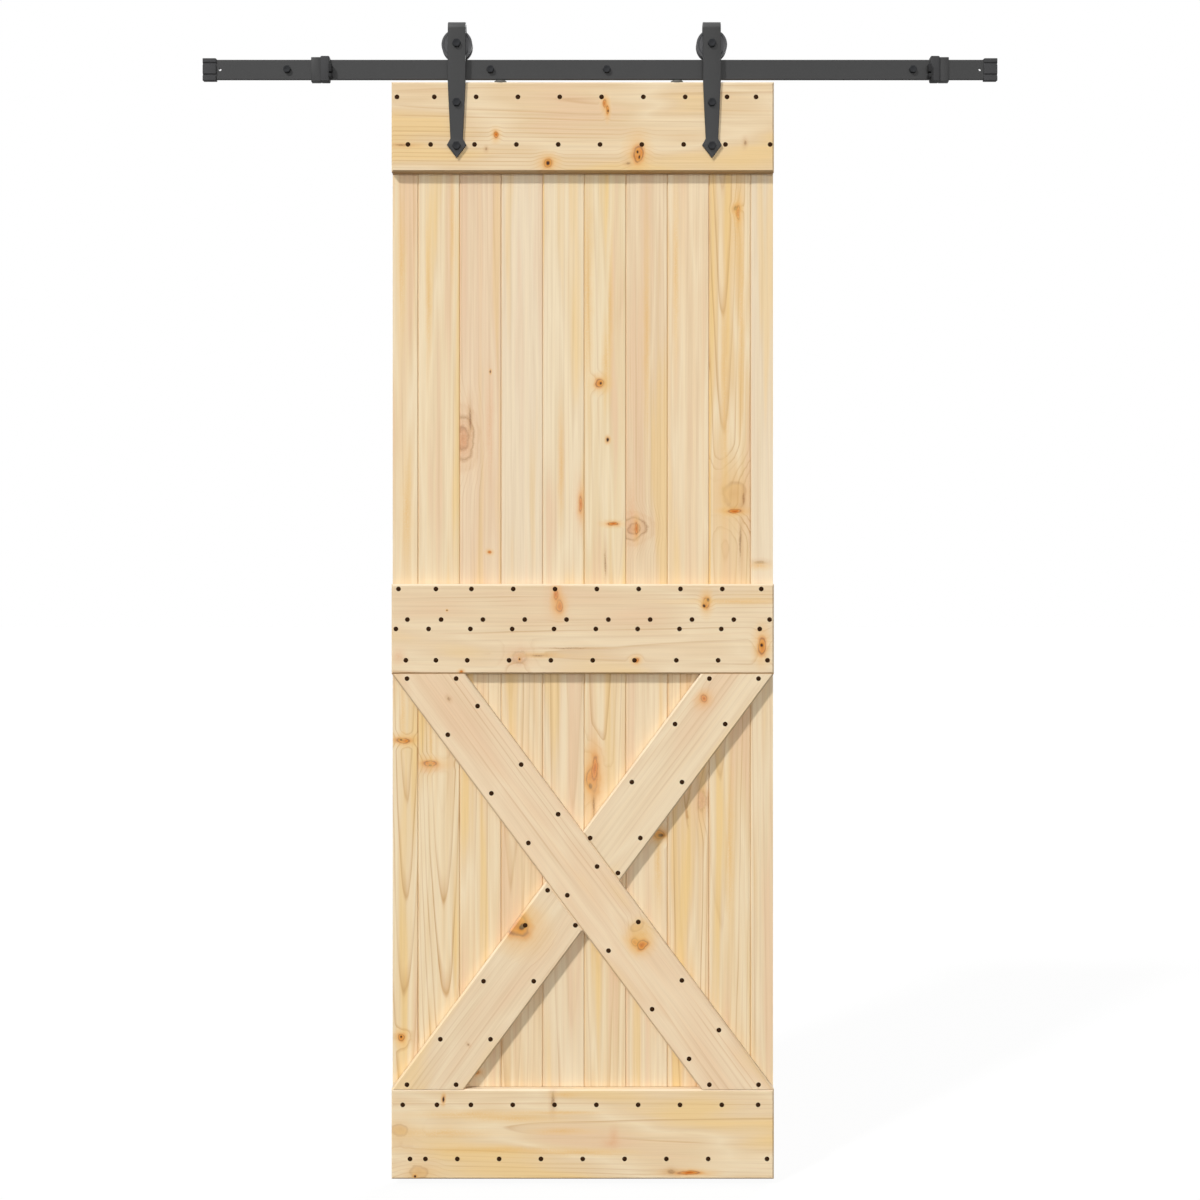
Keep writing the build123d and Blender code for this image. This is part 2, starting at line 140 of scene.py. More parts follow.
def finishShader(tree, shader, colour, rough, specular, bump):
    # bump: its strength, depth and height
    tree.links.new(colour, shader.inputs["Base Color"])
    tree.links.new(rough, shader.inputs["Roughness"])
    shader.inputs["Specular IOR Level"].default_value = specular
    relief = put(tree, "Bump", dict(zip(("Strength", "Distance", "Height"), bump)))
    tree.links.new(relief.outputs[0], shader.inputs["Normal"])


# Pine

# Colours along a mark's radius: the share of the mark's size, then colour and strength
markStyles = {
    "orange": ((0.0, (176, 84, 10), 0.98), (0.10, (204, 108, 18), 0.96), (0.19, (222, 142, 44), 0.92),
               (0.26, (150, 80, 20), 0.82), (0.31, (222, 148, 58), 0.72), (0.45, (232, 176, 96), 0.42),
               (1.0, (236, 196, 134), 0.0)),
    "dark": ((0.0, (40, 24, 8), 1.0), (0.18, (50, 30, 12), 0.98), (0.26, (120, 68, 20), 0.9),
             (0.34, (206, 136, 52), 0.7), (0.55, (228, 170, 84), 0.42), (1.0, (232, 190, 130), 0.0)),
    "pink": ((0.0, (204, 150, 112), 0.7), (0.2, (214, 164, 128), 0.7), (0.29, (180, 122, 80), 0.4),
             (0.36, (218, 168, 126), 0.4), (0.55, (226, 182, 140), 0.25), (1.0, (230, 190, 150), 0.0)),
    "swirl": ((0.0, (190, 128, 88), 0.85), (0.12, (206, 150, 112), 0.8), (0.2, (158, 98, 56), 0.8),
              (0.26, (214, 164, 120), 0.45), (0.34, (206, 156, 110), 0.4), (0.4, (164, 110, 64), 0.7),
              (0.48, (224, 180, 136), 0.3), (0.62, (214, 166, 118), 0.3), (0.72, (230, 190, 150), 0.1),
              (1.0, (230, 190, 150), 0.0)),
    "brown": ((0.0, (134, 92, 56), 0.75), (0.22, (170, 122, 76), 0.65), (0.33, (200, 154, 106), 0.4),
              (1.0, (226, 184, 140), 0.0)),
    "tan": ((0.0, (216, 166, 100), 0.7), (0.2, (222, 176, 110), 0.65), (0.3, (194, 138, 72), 0.5),
            (0.36, (226, 184, 122), 0.4), (0.6, (230, 190, 132), 0.2), (1.0, (234, 196, 140), 0.0)),
    "stain": ((0.0, (228, 178, 98), 0.6), (0.4, (232, 188, 116), 0.38), (1.0, (236, 200, 140), 0.0)),
    "blush": ((0.0, (222, 162, 114), 0.5), (0.4, (226, 176, 132), 0.32), (1.0, (232, 196, 156), 0.0)),
}

solidStyles = ("orange", "dark", "tan")   # drawn unbroken
pushingStyles = ("orange", "dark", "pink", "swirl", "tan")   # knots, which push the rings aside

pineFinish = {
    "warp": 0.011, "wave": 0.0045, "ripple": 0.0022,   # how far the rings wander, m: long, shorter, finest
    "wander": 0.007, "sway": 0.014,                    # how far the outline of a mark strays, m
    "raggedFrom": 0.15, "raggedFull": 16,              # least share of that, and the mark in mm that has it all
    "push": 0.9, "pushReach": (0.4, 4.0),              # shares of a knot's size
    "lateWood": ((0.0, 0.15), (0.06, 0.0), (0.66, 0.0), (0.88, 0.6), (0.94, 1.0), (1.0, 0.15)),
    "lineTint": (194, 144, 86),
    "yellowTint": (238, 202, 132),
    "pinkTint": (230, 194, 158),
    "creamTint": (242, 225, 193),
    "streakTint": ((0.32, (0.93, 0.90, 0.85, 1)), (0.5, grey(1)), (0.7, (1.03, 1.02, 0.99, 1))),
    "fibreTint": ((0.3, (0.965, 0.955, 0.93, 1)), (0.6, (1.01, 1.01, 1.01, 1))),
    "jointTint": (0.84, 0.77, 0.7, 1), "jointWide": (-0.0012, -0.0004),
    # next: painted highlight for upward frame faces, painted shade for downward ones, painted shadow by the boards
    "paintedHighlight": (246, 234, 214), "paintedShade": (0.66, 0.58, 0.5, 1), "grime": (0.5, 0.4, 0.32, 1),
    "paintedSeamShadowDepth": (-0.0322, -0.0296), "sawnTint": (0.86, 0.80, 0.72, 1),
    "roughness": 0.58, "specular": 0.25, "fibreDepth": 0.00012,
}


def markReach(tree, local, astray, mark, centre, lean):
    # An ellipse: the distance from the mark's middle, with its two parts divided by the mark's two reaches
    x, z, across, along = mark[1:]
    dx, dz = x * mm - centre[0], z * mm - centre[2]
    u = dx * math.cos(lean) - dz * math.sin(lean)
    v = dx * math.sin(lean) + dz * math.cos(lean)
    raggedness = min(1.0, pineFinish["raggedFrom"] + min(across, along) / pineFinish["raggedFull"])
    ragged = vec(tree, "ADD", local, vec(tree, "SCALE", astray, raggedness))
    apart = vec(tree, "SUBTRACT", ragged, (u, 0, v))
    return vec(tree, "LENGTH", vec(tree, "MULTIPLY", apart, (1000 / across, 0, 1000 / along)))


def edgeTints(tree, colour, where, lean, framed):
    # On the frame, faces that look upwards are paler, a painted highlight, with a painted shadow where they meet
    # the boards, and those that look down are browner, a painted shade. Sawn ends are darker everywhere.
    finish = pineFinish
    side = put(tree, "TexCoord").outputs["Normal"]
    if framed:
        rise = part(tree, side, 2)
        above = fade(tree, rise, 0.3, 0.55, "LINEAR")
        below = fade(tree, rise, -0.3, -0.55, "LINEAR")
        # painted highlight: faces that look upwards are paler
        colour = blendColour(tree, calc(tree, "MULTIPLY", above, 0.35), colour, paint(*finish["paintedHighlight"]))
        # painted shade: faces that look downwards are darker
        colour = blendColour(tree, below, colour, finish["paintedShade"], "MULTIPLY")
        # painted shadow: upward faces darker next to the boards, where the batten meets them
        grime = fade(tree, part(tree, where, 1), *finish["paintedSeamShadowDepth"], "LINEAR")
        colour = blendColour(tree, calc(tree, "MULTIPLY", grime, above), colour, finish["grime"], "MULTIPLY")
    ends = vec(tree, "DOT_PRODUCT", side, (math.sin(lean), 0.0, math.cos(lean)))
    ends = fade(tree, calc(tree, "ABSOLUTE", ends), 0.75, 0.9)
    return blendColour(tree, calc(tree, "MULTIPLY", ends, 0.8), colour, finish["sawnTint"], "MULTIPLY")


def pineMaterial(name, tint, centre, lean=0.0, pith=(0.02, 0.05), tilt=(0.012, 0.004), spacing=0.007,
                 lines=0.5, bands=0.5, seed=1.0, marks=(), sides=(1.0, 1.0), broad=False, wavy=1.0):
    # Rings of a log: the distance from a pith line behind the piece, in steps of the ring spacing.
    # The vees at the sides, which stand this far from the middle, are darker. Broad pieces, the frame's, have
    # wider bands and edges with painted highlight and shade.
    finish = pineFinish
    material, tree, shader = newMaterial(name)
    where = put(tree, "TexCoord").outputs["Object"]
    local = placed(tree, where, centre, (0.0, lean, 0.0))
    shift = (seed * 1.37, seed * 0.71, seed * 2.13)
    long, gentle, fibreLine = (drawnOut(tree, local, shift, share) for share in (0.05, 0.22, 0.012))
    wander = stray(tree, local, 90.0, 2.0, finish["wander"])
    astray = vec(tree, "ADD", wander, stray(tree, local, 32.0, 1.0, finish["sway"]))

    reaches, push = [], 0.0
    for mark in marks:
        style, across, along = mark[0], mark[3], mark[4]
        reach = markReach(tree, local, astray, mark, centre, lean)
        reaches.append((style, reach))
        if style in pushingStyles:
            most = min(across, along) * finish["push"] * mm
            fall = fade(tree, reach, *finish["pushReach"], "SMOOTHERSTEP", (most, 0.0))
            push = calc(tree, "ADD", fall, push)

    log = placed(tree, local, (pith[0], pith[1], 0), (tilt[0], tilt[1], 0.0))
    radius = vec(tree, "LENGTH", vec(tree, "MULTIPLY", log, (1, 1, 0)))
    radius = calc(tree, "MULTIPLY_ADD", noise(tree, long, 9.0, 3.0), finish["warp"], radius)
    radius = calc(tree, "MULTIPLY_ADD", noise(tree, gentle, 16.0, 1.0), finish["wave"] * wavy, radius)
    radius = calc(tree, "MULTIPLY_ADD", noise(tree, long, 60.0), finish["ripple"], radius)
    phase = calc(tree, "DIVIDE", calc(tree, "ADD", radius, push), spacing)
    ring = calc(tree, "ADD", calc(tree, "FLOOR", phase), seed * 7)
    tone = put(tree, "TexWhiteNoise", {"W": ring}, noise_dimensions="1D").outputs["Value"]
    lateWood = [(at, grey(level)) for at, level in finish["lateWood"]]
    late = ramp(tree, calc(tree, "FRACT", phase), lateWood).outputs[0]
    strength = calc(tree, "MULTIPLY", late, calc(tree, "MULTIPLY_ADD", tone, 1.1 * lines, 0.15 * lines))
    patches = ((0.4, grey(0.12 if broad else 0.4)), (0.56, grey(1.0)))
    patchy = ramp(tree, noise(tree, gentle, 13.0), patches).outputs[0]
    strength = calc(tree, "MULTIPLY", strength, patchy)

    band = noise(tree, gentle, 11.0) if broad else noise(tree, long, 30.0)
    base = paint(*tint)
    yellow, pink, cream = (paint(*finish[key]) for key in ("yellowTint", "pinkTint", "creamTint"))
    tints = ((0.34, pink), (0.43, base), (0.51, cream), (0.57, base), (0.66, yellow))
    colour = blendColour(tree, bands, base, ramp(tree, band, tints).outputs[0])
    colour = blendColour(tree, strength, colour, paint(*finish["lineTint"]))
    streak = noise(tree, fibreLine, 170.0, 3.0, 0.6)
    colour = blendColour(tree, 0.75, colour, ramp(tree, streak, finish["streakTint"]).outputs[0], "MULTIPLY")
    fibre = noise(tree, fibreLine, 1100.0)
    colour = blendColour(tree, 0.9, colour, ramp(tree, fibre, finish["fibreTint"]).outputs[0], "MULTIPLY")

    gaps = ramp(tree, noise(tree, local, 330.0, 3.0, 0.65), ((0.34, grey(0.55)), (0.52, grey(1.0)))).outputs[0]
    for style, reach in reaches:
        stops = [(at, (*paint(*rgb)[:3], alpha)) for at, rgb, alpha in markStyles[style]]
        spot = ramp(tree, calc(tree, "MULTIPLY", reach, 1 / 3), stops)
        cover = spot.outputs[1]
        if style not in solidStyles:
            cover = calc(tree, "MULTIPLY", cover, gaps)
        colour = blendColour(tree, cover, colour, spot.outputs[0])
    across = part(tree, local, 0)
    beyond = calc(tree, "MAXIMUM", calc(tree, "SUBTRACT", across, sides[1]), calc(tree, "SUBTRACT", -sides[0], across))
    joint = fade(tree, beyond, *finish["jointWide"])
    colour = blendColour(tree, joint, colour, finish["jointTint"], "MULTIPLY")
    colour = edgeTints(tree, colour, where, lean, broad)

    rough = calc(tree, "MULTIPLY_ADD", streak, 0.18, finish["roughness"] - 0.09)
    height = calc(tree, "MULTIPLY_ADD", strength, -0.7, calc(tree, "MULTIPLY_ADD", fibre, 0.8, streak))
    finishShader(tree, shader, colour, rough, finish["specular"], (0.55, finish["fibreDepth"], height))
    return material


# Steel, nylon and rubber

def coatedMaterial(name, tone, roughness, grainSize=0.0008, grainDepth=0.00004, specular=0.5, mottle=0.12,
                   metallic=0.0, turned=None, dustAndSheen=None):
    # Powder coat, moulded or turned finish: a fine pebble, with a slow change of tone and gloss.
    # turned: the centre that lathe lines run round. The last argument: how much paler faces that look upwards are,
    # a painted highlight partly standing for a pale film, and the rise of the face from which and at which they are.
    material, tree, shader = newMaterial(name)
    where = put(tree, "TexCoord").outputs["Object"]
    slow = noise(tree, where, 14.0, 3.0, 0.6)
    fine = noise(tree, where, 1 / grainSize, 2.0, 0.6)
    dark, light = (tuple(c * k for c in tone[:3]) + (1.0,) for k in (1 - mottle, 1 + mottle))
    colour = ramp(tree, slow, ((0.3, dark), (0.7, light))).outputs[0]
    speck = ramp(tree, fine, ((0.35, grey(0.86)), (0.62, grey(1.06)))).outputs[0]
    colour = blendColour(tree, 0.8, colour, speck, "MULTIPLY")
    # painted highlight: faces that look upwards turn paler, standing in for light on crowns and tops, partly a pale
    # film
    if dustAndSheen:
        upward = part(tree, put(tree, "TexCoord").outputs["Normal"], 2)
        paler = tuple(c * (1 + dustAndSheen[0]) for c in tone[:3]) + (1.0,)
        colour = blendColour(tree, fade(tree, upward, dustAndSheen[1], dustAndSheen[2]), colour, paler)
    height = fine
    if turned:
        # lathe lines: the sine of the distance from the axle
        radius = vec(tree, "LENGTH", vec(tree, "MULTIPLY", vec(tree, "SUBTRACT", where, turned), (1, 0, 1)))
        lines = calc(tree, "SINE", calc(tree, "MULTIPLY", radius, 7000.0))
        height = calc(tree, "MULTIPLY_ADD", lines, 0.25, fine)
    rough = calc(tree, "MULTIPLY_ADD", slow, 0.16, roughness - 0.08)
    shader.inputs["Metallic"].default_value = metallic
    finishShader(tree, shader, colour, rough, specular, (0.6, grainDepth, height))
    return material


# the paler upward faces below are a painted highlight, strongest on the straps' crowns
steelCoat = coatedMaterial("blackPowderCoat", paint(50, 50, 50), 0.56, specular=0.3, dustAndSheen=(0.4, 0.15, 0.8))
strapCoat = coatedMaterial("strapPowderCoat", paint(36, 36, 36), 0.5, mottle=0.1, specular=0.34, dustAndSheen=(2.5, -0.02, 0.3))
discGrey = coatedMaterial("greyDisc", paint(100, 99, 94), 0.5, specular=0.3)
boltBlack = coatedMaterial("blackedBolt", paint(49, 50, 52), 0.68, 0.0005, 0.00002, 0.08)
nailBrown = coatedMaterial("darkNailHead", paint(56, 35, 19), 0.75, 0.0006, 0.00002, 0.04)
rubberBlack = coatedMaterial("mouldedRubber", paint(60, 60, 61), 0.7, 0.0006, 0.00003, 0.25)
bufferBlack = coatedMaterial("bufferRubber", paint(38, 38, 39), 0.75, 0.0006, 0.00003, 0.2)
bearingSteel = coatedMaterial("groundBearingSteel", paint(176, 178, 182), 0.26, 0.0003, 0.00001, 0.5, 0.06, 1.0)
print("metal and rubber materials made")


# Surfaces on a grid: rows by columns of points, whose columns always close round

def gridFaces(rows, columns, loopRows):
    # quads between neighbouring rows, and a face over the first and the last row unless the rows loop
    index = np.arange(rows * columns).reshape(rows, columns)
    aside = np.roll(index, -1, axis=1)
    if loopRows:
        quads = np.stack((index, aside, np.roll(aside, -1, axis=0), np.roll(index, -1, axis=0)), axis=-1)
        return quads.reshape(-1, 4), np.zeros((0, columns), int)
    quads = np.stack((index[:-1], aside[:-1], aside[1:], index[1:]), axis=-1)
    return quads.reshape(-1, 4), np.stack((index[0, ::-1], index[-1]))


def makePiece(name, shells, material, body, replaced, smooth=32.0):
    # Joins closed shells into one mesh. Each is a grid, whether its rows loop, and the places it stands at.
    points, faces, count = [], [], 0
    for grid, loopRows, places in shells:
        rows, columns = grid.shape[:2]
        quads, ends = gridFaces(rows, columns, loopRows)
        copies = np.asarray(places, float).reshape(-1, 1, 1, 3) + grid[None]
        start = (count + np.arange(len(copies)) * rows * columns)[:, None, None]
        points.append(copies.reshape(-1, 3))
        faces += (quads[None] + start).reshape(-1, 4).tolist()
        faces += (ends[None] + start).reshape(-1, columns).tolist() if len(ends) else []
        count += len(copies) * rows * columns
    mesh = bpy.data.meshes.new(name)
    mesh.from_pydata(np.concatenate(points).tolist(), [], faces)
    work = bmesh.new()
    work.from_mesh(mesh)
    bmesh.ops.recalc_face_normals(work, faces=work.faces[:])
    work.to_mesh(mesh)
    work.free()
    mesh.shade_smooth()
    mesh.set_sharp_from_angle(angle=math.radians(smooth))
    mesh.materials.append(material)
    piece = bpy.data.objects.new(name, mesh)
    bpy.context.scene.collection.objects.link(piece)
    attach(piece, body)
    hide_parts(*replaced)
    return piece


def soften(corners, radius, steps=4):
    # rounds a closed outline: each corner becomes a short quadratic curve
    corners = np.asarray(corners, float)
    before, after = np.roll(corners, 1, axis=0) - corners, np.roll(corners, -1, axis=0) - corners
    lengths = [np.linalg.norm(way, axis=1, keepdims=True) for way in (before, after)]
    cuts = [np.minimum(radius, length * 0.45) / length for length in lengths]
    start, end = corners + before * cuts[0], corners + after * cuts[1]
    t = np.linspace(0, 1, steps + 1)[None, :, None]
    curve = (1 - t) ** 2 * start[:, None] + 2 * t * (1 - t) * corners[:, None] + t ** 2 * end[:, None]
    return curve.reshape(-1, 2)


def roundBox():
    # the corners of a round-cornered box, five points each: the angle, and the two sides that a point is on
    angle = (np.linspace(0, np.pi / 2, 5)[None] + np.arange(4)[:, None] * np.pi / 2).ravel()
    return angle, np.repeat((1, -1, -1, 1), 5), np.repeat((1, 1, -1, -1), 5)


def around(angle, radius, depth):
    # a ring of points at a radius and a depth along y: radius times the cosine and the sine of the angle
    return np.stack((radius * np.cos(angle), depth + 0 * angle, radius * np.sin(angle)), axis=-1)


def fullTurn(segments):
    return np.linspace(0, 2 * np.pi, segments, endpoint=False)


def turnedGrid(profile, segments=72):
    # a profile of (depth, radius) turned about the y axis through the origin
    return around(fullTurn(segments), profile[:, 1][:, None], profile[:, 0][:, None])


def hexRadius(angle, flat):
    # a hexagon: half its width divided by the cosine of the angle from the middle of the nearest side
    return flat / np.cos(np.mod(angle, np.pi / 3) - np.pi / 6)


hexChamfer = {"slope": math.tan(math.radians(30)), "crown": 0.95}   # a cone of 30 degrees outside the crown circle


def hexHeadGrid(across, height, base=0.0, segments=72, soft=0.0003):
    # The radius is that of a hexagon at each angle. Above the crown circle a cone cuts the corners.
    angle = fullTurn(segments)
    flat, ring = across / 2, np.ones(segments)
    crown = flat * hexChamfer["crown"]
    hexagon = hexRadius(angle, flat)
    shoulder = height - np.maximum(hexagon - crown, 0) * hexChamfer["slope"]
    rows = ((hexagon - soft, 0 * ring), (hexagon, soft * ring), (hexagon, shoulder - soft),
            (hexagon - soft * 0.6, shoulder), (ring * crown, ring * height), (ring * flat * 0.9, ring * height),
            (ring * flat * 0.62, ring * height), (ring * flat * 0.55, ring * (height - soft)),
            (ring * 0.0004, ring * (height - soft)))
    radius, rise = np.stack([row[0] for row in rows]), np.stack([row[1] for row in rows])
    return around(angle, radius, base - rise)


def threadGrid(start, end, radius, pitch, depth, point=0.0, segments=24, perTurn=8):
    # The radius rises and falls once a turn: a triangle wave of the depth, less the angle's share of a turn
    length = end - start
    along = np.linspace(0, length, int(length / pitch * perTurn))[:, None]
    angle = fullTurn(segments)[None]
    wave = 1 - np.abs(2 * np.mod(along / pitch - angle / (2 * np.pi), 1) - 1)
    taper = np.clip((length - along) / point, 0.06, 1) if point else 1.0
    rise = np.clip(along / (2 * pitch), 0, 1) * np.clip((length - along) / pitch, 0, 1)
    body = (radius - depth * (1 - wave ** 0.6) * rise) * taper
    return around(angle, body, start + along)


# Wood pieces: carried over from the frame, one finish each

# Boards from left to right: tint, pith (aside, behind), tilt, ring spacing, line strength, band strength
upperLooks = (
    ((234, 209, 170), (0.035, 0.04), (0.010, 0.0), 0.0085, 0.30, 0.60),
    ((234, 211, 174), (-0.06, 0.05), (0.006, 0.002), 0.0080, 0.24, 0.55),
    ((231, 203, 170), (0.05, 0.06), (0.004, 0.002), 0.0060, 0.30, 0.35),
    ((234, 214, 184), (-0.05, 0.08), (0.006, -0.001), 0.0090, 0.16, 0.35),
    ((234, 213, 179), (0.07, 0.04), (0.006, 0.003), 0.0075, 0.22, 0.60),
    ((232, 209, 169), (0.02, 0.05), (0.020, 0.006), 0.0100, 0.50, 0.65),
    ((230, 204, 168), (0.06, 0.03), (0.004, 0.001), 0.0050, 0.50, 0.45),
    ((234, 209, 172), (-0.07, 0.06), (0.005, 0.0), 0.0090, 0.18, 0.50),
    ((231, 202, 158), (-0.012, 0.03), (0.030, -0.006), 0.0062, 0.85, 0.65),
    ((233, 213, 183), (0.06, 0.05), (0.006, 0.0), 0.0080, 0.18, 0.40),
)
lowerLooks = (
    ((234, 209, 168), (0.0, 0.03), (0.028, 0.004), 0.0062, 0.85, 0.65),
    ((233, 207, 165), (0.01, 0.035), (0.030, -0.004), 0.0062, 0.90, 0.65),
    ((234, 208, 168), (-0.03, 0.04), (0.012, 0.002), 0.0075, 0.45, 0.6),
    ((232, 205, 165), (-0.02, 0.05), (0.014, 0.0), 0.0065, 0.50, 0.5),
    ((234, 211, 176), (0.02, 0.05), (0.018, 0.005), 0.0080, 0.60, 0.5),
    ((233, 207, 166), (-0.01, 0.04), (0.022, 0.0), 0.0075, 0.60, 0.6),
    ((234, 210, 174), (0.05, 0.06), (0.006, 0.003), 0.0070, 0.30, 0.5),
    ((231, 202, 160), (0.0, 0.03), (0.020, 0.006), 0.0062, 0.80, 0.6),
    ((232, 206, 165), (-0.02, 0.04), (0.020, -0.005), 0.0065, 0.70, 0.6),
    ((232, 208, 171), (0.04, 0.05), (0.010, 0.0), 0.0070, 0.45, 0.5),
)
# Knots, streaks and stains: kind, then middle (x, z) and reach (across, along) in mm
upperMarks = {
    1: (("stain", -382, -374, 4, 70), ("stain", -372, -840, 5, 60), ("stain", -340, -470, 4, 60)),
    2: (("stain", -330, -437, 3, 75), ("stain", -284, -300, 2.5, 60)),
    3: (("swirl", -264, -706, 17, 34), ("blush", -262, -712, 8, 20), ("brown", -250, -670, 3, 26),
        ("dark", -211, -578, 1.5, 3), ("blush", -212, -690, 4, 60), ("orange", -213, -925, 4, 3)),
    5: (("stain", -75, -760, 3, 60), ("orange", -37, -832, 4, 17), ("blush", -36, -835, 8, 30)),
    6: (("orange", 1, -601, 9, 9), ("dark", 2, -601, 2.5, 3), ("dark", 15, -709, 2.8, 4.5),
        ("orange", 24, -871, 11, 3.5), ("brown", 10, -948, 2, 26), ("stain", 12, -560, 4, 40),
        ("stain", 20, -450, 2.5, 70), ("stain", -24, -430, 5, 120)),
    7: (("swirl", 66, -880, 19, 17), ("orange", 70, -880, 3.5, 14), ("blush", 62, -850, 5, 40),
        ("stain", 90, -500, 3, 120)),
    8: (("stain", 146, -380, 3, 90),),
    9: (("dark", 263, -264, 5, 5), ("orange", 267, -272, 4, 16), ("stain", 263, -300, 6, 60),
        ("tan", 259, -815, 22, 28), ("orange", 259, -846, 15, 4.5), ("brown", 276, -822, 3, 12),
        ("brown", 270, -905, 2.5, 34), ("stain", 240, -640, 4, 160), ("stain", 272, -480, 3, 120)),
    10: (("brown", 308, -945, 12, 3.5), ("stain", 306, -952, 12, 4)),
}
lowerMarks = {
    1: (("orange", -379, -1287, 16, 6), ("dark", -383, -1286, 3, 2), ("stain", -380, -1240, 3, 40),
        ("orange", -381, -1860, 7, 9), ("dark", -382, -1858, 2, 2.5)),
    2: (("orange", -327, -1333, 17, 7), ("dark", -327, -1336, 3.5, 2), ("blush", -327, -1342, 14, 6),
        ("stain", -326, -1290, 2.5, 40)),
    3: (("orange", -240, -1926, 8, 5), ("dark", -240, -1924, 3, 2)),
    6: (("orange", -14, -1362, 13, 28), ("dark", -18, -1376, 3.5, 6), ("orange", -10, -1342, 7, 28),
        ("blush", -8, -1345, 8, 34), ("brown", -12, -1415, 3, 26)),
    7: (("orange", 114, -1468, 13, 9), ("dark", 117, -1470, 6, 3.5), ("stain", 112, -1520, 4, 50)),
    8: (("pink", 196, -1405, 9, 22), ("stain", 176, -1800, 4, 50)),
    9: (("stain", 250, -1500, 4, 90),),
}

# The boards' joints and the rows' middle heights, in mm. A vee far outside stands for none.
boardShape = {"joints": (-399, *range(-350, 291, 80), 333), "heights": {"upper": -545, "lower": -1595},
              "depth": -0.028, "seeds": {"upper": 0.0, "lower": 40.0}, "outside": 1.0}


def dress(nodeName, material):
    # gives a node that is carried over one material
    target = nodes[nodeName]
    target.data.materials.clear()
    target.data.materials.append(material)


def camel(nodeName):
    # top_batten becomes topBatten
    start, *others = nodeName.split("_")
    return start + "".join(word.capitalize() for word in others)


for level, looks, allMarks in (("upper", upperLooks, upperMarks), ("lower", lowerLooks, lowerMarks)):
    for number, (tint, pith, tilt, spacing, lines, bands) in enumerate(looks, 1):
        left, right = boardShape["joints"][number - 1:number + 1]
        middle = (left + right) / 2
        centre = (middle * mm, boardShape["depth"], boardShape["heights"][level] * mm)
        half, outside = (right - middle) * mm, boardShape["outside"]
        sides = (outside if number == 1 else half, outside if number == len(looks) else half)
        seed = number * 1.9 + boardShape["seeds"][level]
        material = pineMaterial(f"{level}Board{number:02d}Pine", tint, centre, 0.0, pith, tilt, spacing, lines, bands,
                                seed, allMarks.get(number, ()), sides)
        dress(f"{level}_board_{number:02d}", material)

